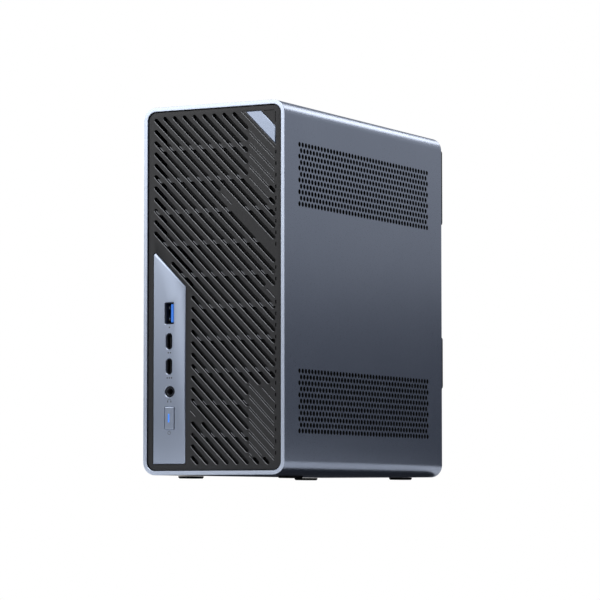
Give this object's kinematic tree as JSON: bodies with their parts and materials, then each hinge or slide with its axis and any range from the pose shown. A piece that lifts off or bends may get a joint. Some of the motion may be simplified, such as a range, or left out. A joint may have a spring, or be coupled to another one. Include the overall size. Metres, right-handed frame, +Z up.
{
  "type": "mini pc",
  "caption": "Upright mini workstation computer: perforated aluminium sleeve, diagonal-slotted front with port strip and power button, and an inner chassis that slides out to the rear.",
  "frame": {"origin": "centre of the footprint, on the surface that the rubber feet stand on", "axes": "+Z up, -Y is the way the slotted front faces, +X is to the viewer's right when facing the front"},
  "size_m": [0.097, 0.2214, 0.225],
  "materials": {
    "sleeve_aluminium": "bead-blasted, blue-grey anodised aluminium extrusion",
    "plate_aluminium": "fine bead-blasted light silver-blue anodised aluminium",
    "fin_aluminium": "mill-finish aluminium",
    "charcoal_plastic": "fine-textured charcoal moulding",
    "black_plastic": "satin black moulding",
    "filter_cloth": "fine black woven nylon dust cloth",
    "rubber": "matt black rubber",
    "bright_steel": "zinc or nickel plated sheet steel",
    "black_steel": "black powder-coated sheet steel",
    "copper": null,
    "laminate": "dark glass-fibre circuit board with solder mask",
    "light_pipe": "clear polycarbonate light pipe, lit blue"
  },
  "bodies": {
    "housing": {"outer_sleeve": "sleeve_aluminium", "front_grille": "charcoal_plastic", "badge_plate": "plate_aluminium", "front_port_plate": "plate_aluminium", "dust_filter": "filter_cloth", "intake_duct": "charcoal_plastic", "sleeve_tab_upper": "sleeve_aluminium", "sleeve_tab_lower": "sleeve_aluminium", "rubber_foot_front_left": "rubber", "rubber_foot_front_right": "rubber", "rubber_foot_rear_left": "rubber", "rubber_foot_rear_right": "rubber"},
    "power_button": {"power_button_cap": "plate_aluminium", "power_light_pipe": "light_pipe"},
    "chassis": {"chassis_tray": "bright_steel", "psu_case": "bright_steel", "card_bracket": "bright_steel", "network_cage_left": "bright_steel", "network_cage_right": "bright_steel", "front_type_a_port": "bright_steel", "front_type_c_port_upper": "bright_steel", "front_type_c_port_lower": "bright_steel", "rear_video_port": "bright_steel", "rear_type_a_stack": "bright_steel", "rear_type_c_port": "bright_steel", "rear_lan_port_upper": "bright_steel", "rear_lan_port_lower": "bright_steel", "coin_cell": "bright_steel", "rear_panel": "black_steel", "blank_bracket": "black_steel", "exhaust_guard": "black_plastic", "bracket_cover": "black_plastic", "memory_socket_a": "black_plastic", "memory_socket_b": "black_plastic", "cooler_fan_frame": "black_plastic", "exhaust_fan_frame": "black_plastic", "psu_fan_frame": "black_plastic", "card_slot": "black_plastic", "power_inlet": "black_plastic", "front_audio_jack": "black_plastic", "power_switch": "black_plastic", "motherboard": "laminate", "cpu_package": "laminate", "wireless_card": "laminate", "solid_state_drive": "laminate", "memory_module_a": "laminate", "memory_module_b": "laminate", "network_card": "laminate", "front_io_board": "laminate", "cold_plate": "copper", "heat_pipe_1": "copper", "heat_pipe_2": "copper", "heat_pipe_3": "copper", "fin_stack": "fin_aluminium"},
    "cooler_wheel": {"cooler_fan_rotor": "black_plastic"},
    "exhaust_wheel": {"exhaust_fan_rotor": "black_plastic"},
    "psu_wheel": {"psu_fan_rotor": "black_plastic"},
    "upper_thumbscrew": {"thumbscrew_upper": "bright_steel"},
    "lower_thumbscrew": {"thumbscrew_lower": "bright_steel"}
  },
  "joints": [
    {"name": "chassis_slide", "type": "slide", "parent": "housing", "child": "chassis", "axis": [0, 1, 0], "range_m": [0, 0.21]},
    {"name": "power_button_press", "type": "slide", "parent": "housing", "child": "power_button", "axis": [0, 1, 0], "range_m": [0, 0.0005], "stiffness_N_per_m": 2500},
    {"name": "cooler_fan_spin", "type": "hinge", "parent": "chassis", "child": "cooler_wheel", "pos_m": [0.01615, -0.005, 0.16], "axis": [1, 0, 0], "continuous": true},
    {"name": "exhaust_fan_spin", "type": "hinge", "parent": "chassis", "child": "exhaust_wheel", "pos_m": [0.022, 0.095, 0.1902], "axis": [0, 1, 0], "continuous": true},
    {"name": "psu_fan_spin", "type": "hinge", "parent": "chassis", "child": "psu_wheel", "pos_m": [-0.0175, 0.0965, 0.0262], "axis": [0, 1, 0], "continuous": true},
    {"name": "thumbscrew_upper_turn", "type": "hinge", "parent": "chassis", "child": "upper_thumbscrew", "pos_m": [0.038, 0.1086, 0.152], "axis": [0, 1, 0], "continuous": true},
    {"name": "thumbscrew_lower_turn", "type": "hinge", "parent": "chassis", "child": "lower_thumbscrew", "pos_m": [0.038, 0.1086, 0.0516], "axis": [0, 1, 0], "continuous": true}
  ]
}
